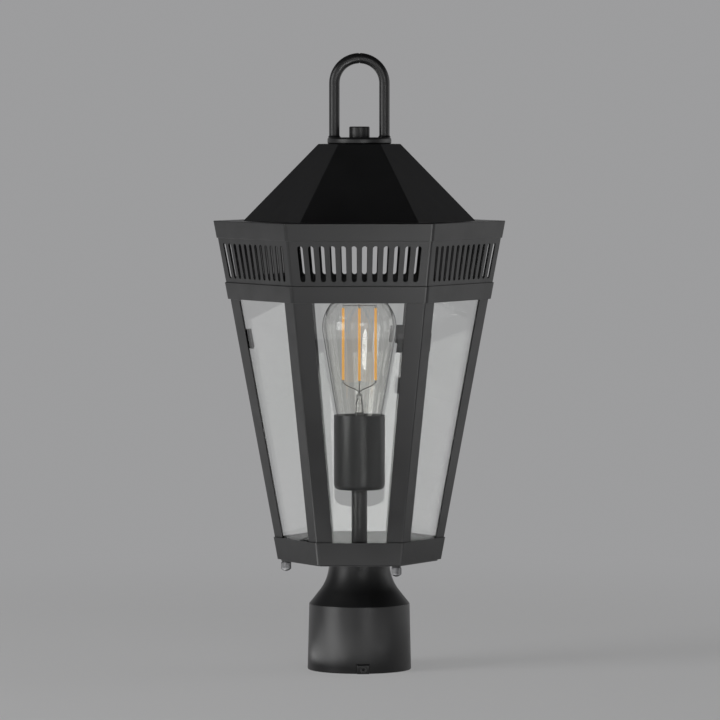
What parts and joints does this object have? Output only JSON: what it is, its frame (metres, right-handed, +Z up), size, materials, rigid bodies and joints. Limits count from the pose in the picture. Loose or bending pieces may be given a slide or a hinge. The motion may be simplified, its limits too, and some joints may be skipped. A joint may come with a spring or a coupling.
{
  "type": "post top lantern",
  "caption": "Hexagonal post top lantern: cast post fitter, tapered glazed cage with a slotted gallery band, pyramidal roof and hanging loop, clear filament lamp.",
  "frame": {"origin": "centre of the fitter's lower rim, on the axis of the post", "axes": "+Z up the post's axis; -Y out of the front face; corners of the hexagon on +X and -X"},
  "size_m": [0.2394, 0.2084, 0.506],
  "materials": {
    "black_coat": "satin powder coat",
    "pane_glass": "clear",
    "lamp_glass": "clear",
    "holder_moulding": "moulded",
    "socket_metal": "plated",
    "contact_brass": "plain",
    "cap_metal": "bright",
    "filament_coat": "phosphor coat",
    "plated_steel": "plated",
    "screw_steel": "black oxide",
    "knob_metal": "knurled, plated"
  },
  "bodies": {
    "base": {"post_fitter": "black_coat", "nipple": "plated_steel", "nipple_locknut": "plated_steel", "locknut_washer": "plated_steel", "base_plate": "black_coat", "stem_tube": "black_coat", "socket_cup": "black_coat", "lamp_holder": "holder_moulding", "screw_shell": "socket_metal", "centre_contact": "contact_brass"},
    "lamp": {"lamp_base": "cap_metal", "lamp_bulb": "lamp_glass", "lamp_mount": "lamp_glass", "filament_sticks": "filament_coat", "filament_wires": "plated_steel"},
    "cage": {"bottom_ring": "black_coat", "corner_post_1": "black_coat", "corner_post_2": "black_coat", "corner_post_3": "black_coat", "corner_post_4": "black_coat", "corner_post_5": "black_coat", "corner_post_6": "black_coat", "glass_panel_1": "pane_glass", "glass_panel_2": "pane_glass", "glass_panel_3": "pane_glass", "glass_panel_4": "pane_glass", "glass_panel_5": "pane_glass", "glass_panel_6": "pane_glass", "gallery_band": "black_coat", "lower_band": "black_coat", "upper_rim": "black_coat", "roof": "black_coat", "glass_clip_1": "black_coat", "glass_clip_2": "black_coat", "glass_clip_3": "black_coat", "clip_rivets": "plated_steel", "cage_stud_1": "plated_steel", "cage_stud_2": "plated_steel", "cage_stud_3": "plated_steel", "loop_plate": "black_coat", "hanging_loop": "black_coat", "finial_nut": "black_coat", "loop_bolt": "plated_steel"},
    "set_screw_1": {"set_screw_1": "screw_steel"},
    "set_screw_2": {"set_screw_2": "screw_steel"},
    "set_screw_3": {"set_screw_3": "screw_steel"},
    "knob_washer_1": {"knob_washer_1": "black_coat"},
    "knob_washer_2": {"knob_washer_2": "black_coat"},
    "knob_washer_3": {"knob_washer_3": "black_coat"},
    "thumb_nut_1": {"thumb_nut_1": "knob_metal"},
    "thumb_nut_2": {"thumb_nut_2": "knob_metal"},
    "thumb_nut_3": {"thumb_nut_3": "knob_metal"}
  },
  "joints": [
    {"name": "cage_lift", "type": "slide", "parent": "base", "child": "cage", "axis": [0, 0, 1], "range_m": [0, 0.24]},
    {"name": "lamp_unscrew", "type": "slide", "parent": "base", "child": "lamp", "axis": [0, 0, 1], "range_m": [0, 0.045]},
    {"name": "set_screw_1_advance", "type": "slide", "parent": "base", "child": "set_screw_1", "axis": [-0.0698, 0.9976, 0], "range_m": [0, 0.005]},
    {"name": "set_screw_2_advance", "type": "slide", "parent": "base", "child": "set_screw_2", "axis": [-0.829, -0.5592, 0], "range_m": [0, 0.005]},
    {"name": "set_screw_3_advance", "type": "slide", "parent": "base", "child": "set_screw_3", "axis": [0.8988, -0.4384, 0], "range_m": [0, 0.005]},
    {"name": "knob_washer_1_drop", "type": "slide", "parent": "base", "child": "knob_washer_1", "axis": [0, 0, -1], "range_m": [0, 0.0064]},
    {"name": "thumb_nut_1_turn", "type": "hinge", "parent": "knob_washer_1", "child": "thumb_nut_1", "pos_m": [-0.0602, 0, 0.0872], "axis": [0, 0, -1], "range_deg": [0, 2880]},
    {"name": "knob_washer_2_drop", "type": "slide", "parent": "base", "child": "knob_washer_2", "axis": [0, 0, -1], "range_m": [0, 0.0064]},
    {"name": "thumb_nut_2_turn", "type": "hinge", "parent": "knob_washer_2", "child": "thumb_nut_2", "pos_m": [0.0301, -0.05214, 0.0872], "axis": [0, 0, -1], "range_deg": [0, 2880]},
    {"name": "knob_washer_3_drop", "type": "slide", "parent": "base", "child": "knob_washer_3", "axis": [0, 0, -1], "range_m": [0, 0.0064]},
    {"name": "thumb_nut_3_turn", "type": "hinge", "parent": "knob_washer_3", "child": "thumb_nut_3", "pos_m": [0.0301, 0.05214, 0.0872], "axis": [0, 0, -1], "range_deg": [0, 2880]}
  ],
  "couplings": [
    {"joint": "thumb_nut_1_turn", "follows": "knob_washer_1_drop", "rad_per_m": 7854},
    {"joint": "thumb_nut_2_turn", "follows": "knob_washer_2_drop", "rad_per_m": 7854},
    {"joint": "thumb_nut_3_turn", "follows": "knob_washer_3_drop", "rad_per_m": 7854}
  ]
}
